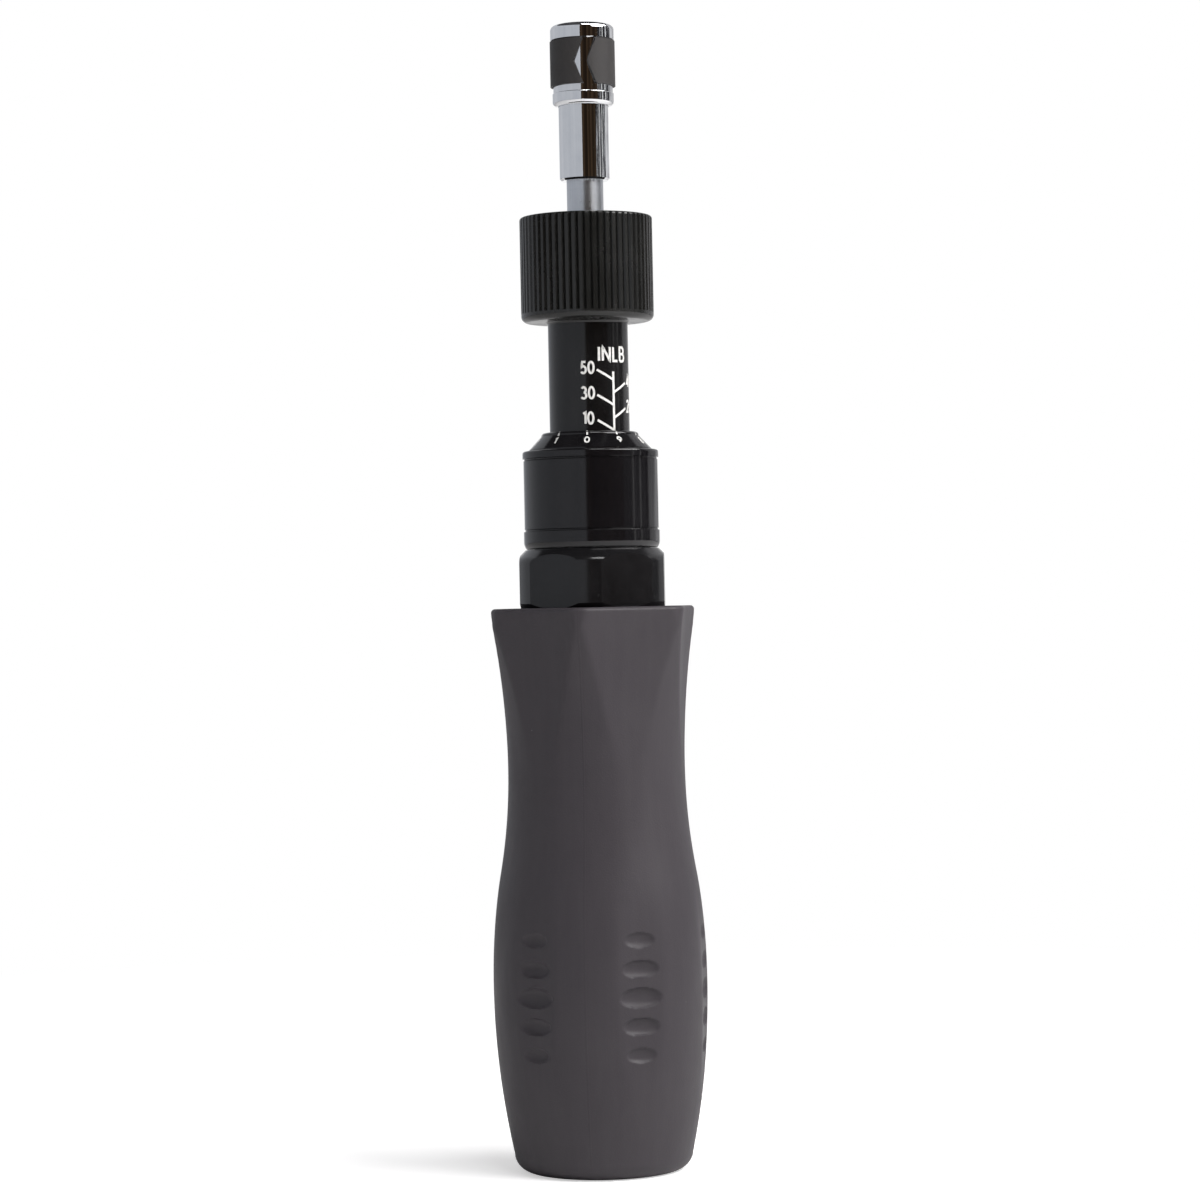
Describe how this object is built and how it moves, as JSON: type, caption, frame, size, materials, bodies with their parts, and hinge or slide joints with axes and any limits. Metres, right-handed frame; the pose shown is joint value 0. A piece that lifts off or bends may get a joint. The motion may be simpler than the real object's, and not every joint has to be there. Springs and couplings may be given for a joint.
{
  "type": "torque screwdriver",
  "caption": "Hand torque screwdriver with a moulded grip, a turn-to-set scale barrel, a sliding lock ring and a quick-release hex bit holder.",
  "frame": {"origin": "centre of the flat butt of the grip", "axes": "+Z along the driver's axis towards the bit end; the 0 of the index cone faces about -Y"},
  "size_m": [0.042, 0.0432, 0.2286],
  "materials": {
    "grip_rubber": "satin",
    "black_anodised": "satin",
    "zinc_steel": "satin",
    "bright_chrome": "polished",
    "band_rubber": "matte",
    "plain_steel": "satin",
    "polished_steel": "polished",
    "brass": "satin",
    "magnet_nickel": "satin"
  },
  "bodies": {
    "handle": {"grip": "grip_rubber", "housing": "black_anodised", "index_cone": "black_anodised", "lock_shoes": "brass", "end_plug": "plain_steel", "thrust_race_lower": "plain_steel", "thrust_balls": "polished_steel", "thrust_cage": "brass", "drive_pins": "polished_steel", "lock_spring": "plain_steel", "torque_spring": "plain_steel"},
    "lock_ring": {"lock_ring": "black_anodised"},
    "spring_seat": {"spring_seat": "plain_steel", "thrust_washer": "brass"},
    "barrel": {"barrel": "black_anodised", "spindle_bush": "brass"},
    "spindle": {"spindle": "zinc_steel", "thrust_race_upper": "plain_steel", "bit_socket": "bright_chrome", "bit_magnet": "magnet_nickel", "bit_lock_ball": "polished_steel", "sleeve_retainer": "plain_steel", "sleeve_spring": "plain_steel"},
    "pressure_plate": {"pressure_plate": "plain_steel", "clutch_ball_set": "polished_steel"},
    "release_sleeve": {"release_sleeve": "bright_chrome", "sleeve_band": "band_rubber"}
  },
  "joints": [
    {"name": "barrel_turn", "type": "hinge", "parent": "spring_seat", "child": "barrel", "pos_m": [0, 0, 0.1465], "axis": [0, 0, -1], "range_deg": [-144, 1476]},
    {"name": "seat_slide", "type": "slide", "parent": "handle", "child": "spring_seat", "axis": [0, 0, -1], "range_m": [-0.001, 0.01025], "deforming": ["torque_spring"]},
    {"name": "clutch_slip", "type": "hinge", "parent": "handle", "child": "spindle", "pos_m": [0, 0, 0.0275], "axis": [0, 0, 1], "continuous": true},
    {"name": "plate_lift", "type": "slide", "parent": "handle", "child": "pressure_plate", "axis": [0, 0, 1], "range_m": [0, 0.0005], "stiffness_N_per_m": 20000, "springref_m": -0.0005},
    {"name": "lock_slide", "type": "slide", "parent": "handle", "child": "lock_ring", "axis": [0, 0, 1], "range_m": [0, 0.0026], "stiffness_N_per_m": 340, "springref_m": -0.004, "deforming": ["lock_spring"]},
    {"name": "sleeve_slide", "type": "slide", "parent": "spindle", "child": "release_sleeve", "axis": [0, 0, 1], "range_m": [0, 0.0024], "stiffness_N_per_m": 340, "springref_m": -0.004, "deforming": ["sleeve_spring"]}
  ],
  "couplings": [
    {"joint": "barrel_turn", "follows": "seat_slide", "rad_per_m": 2513.3}
  ]
}
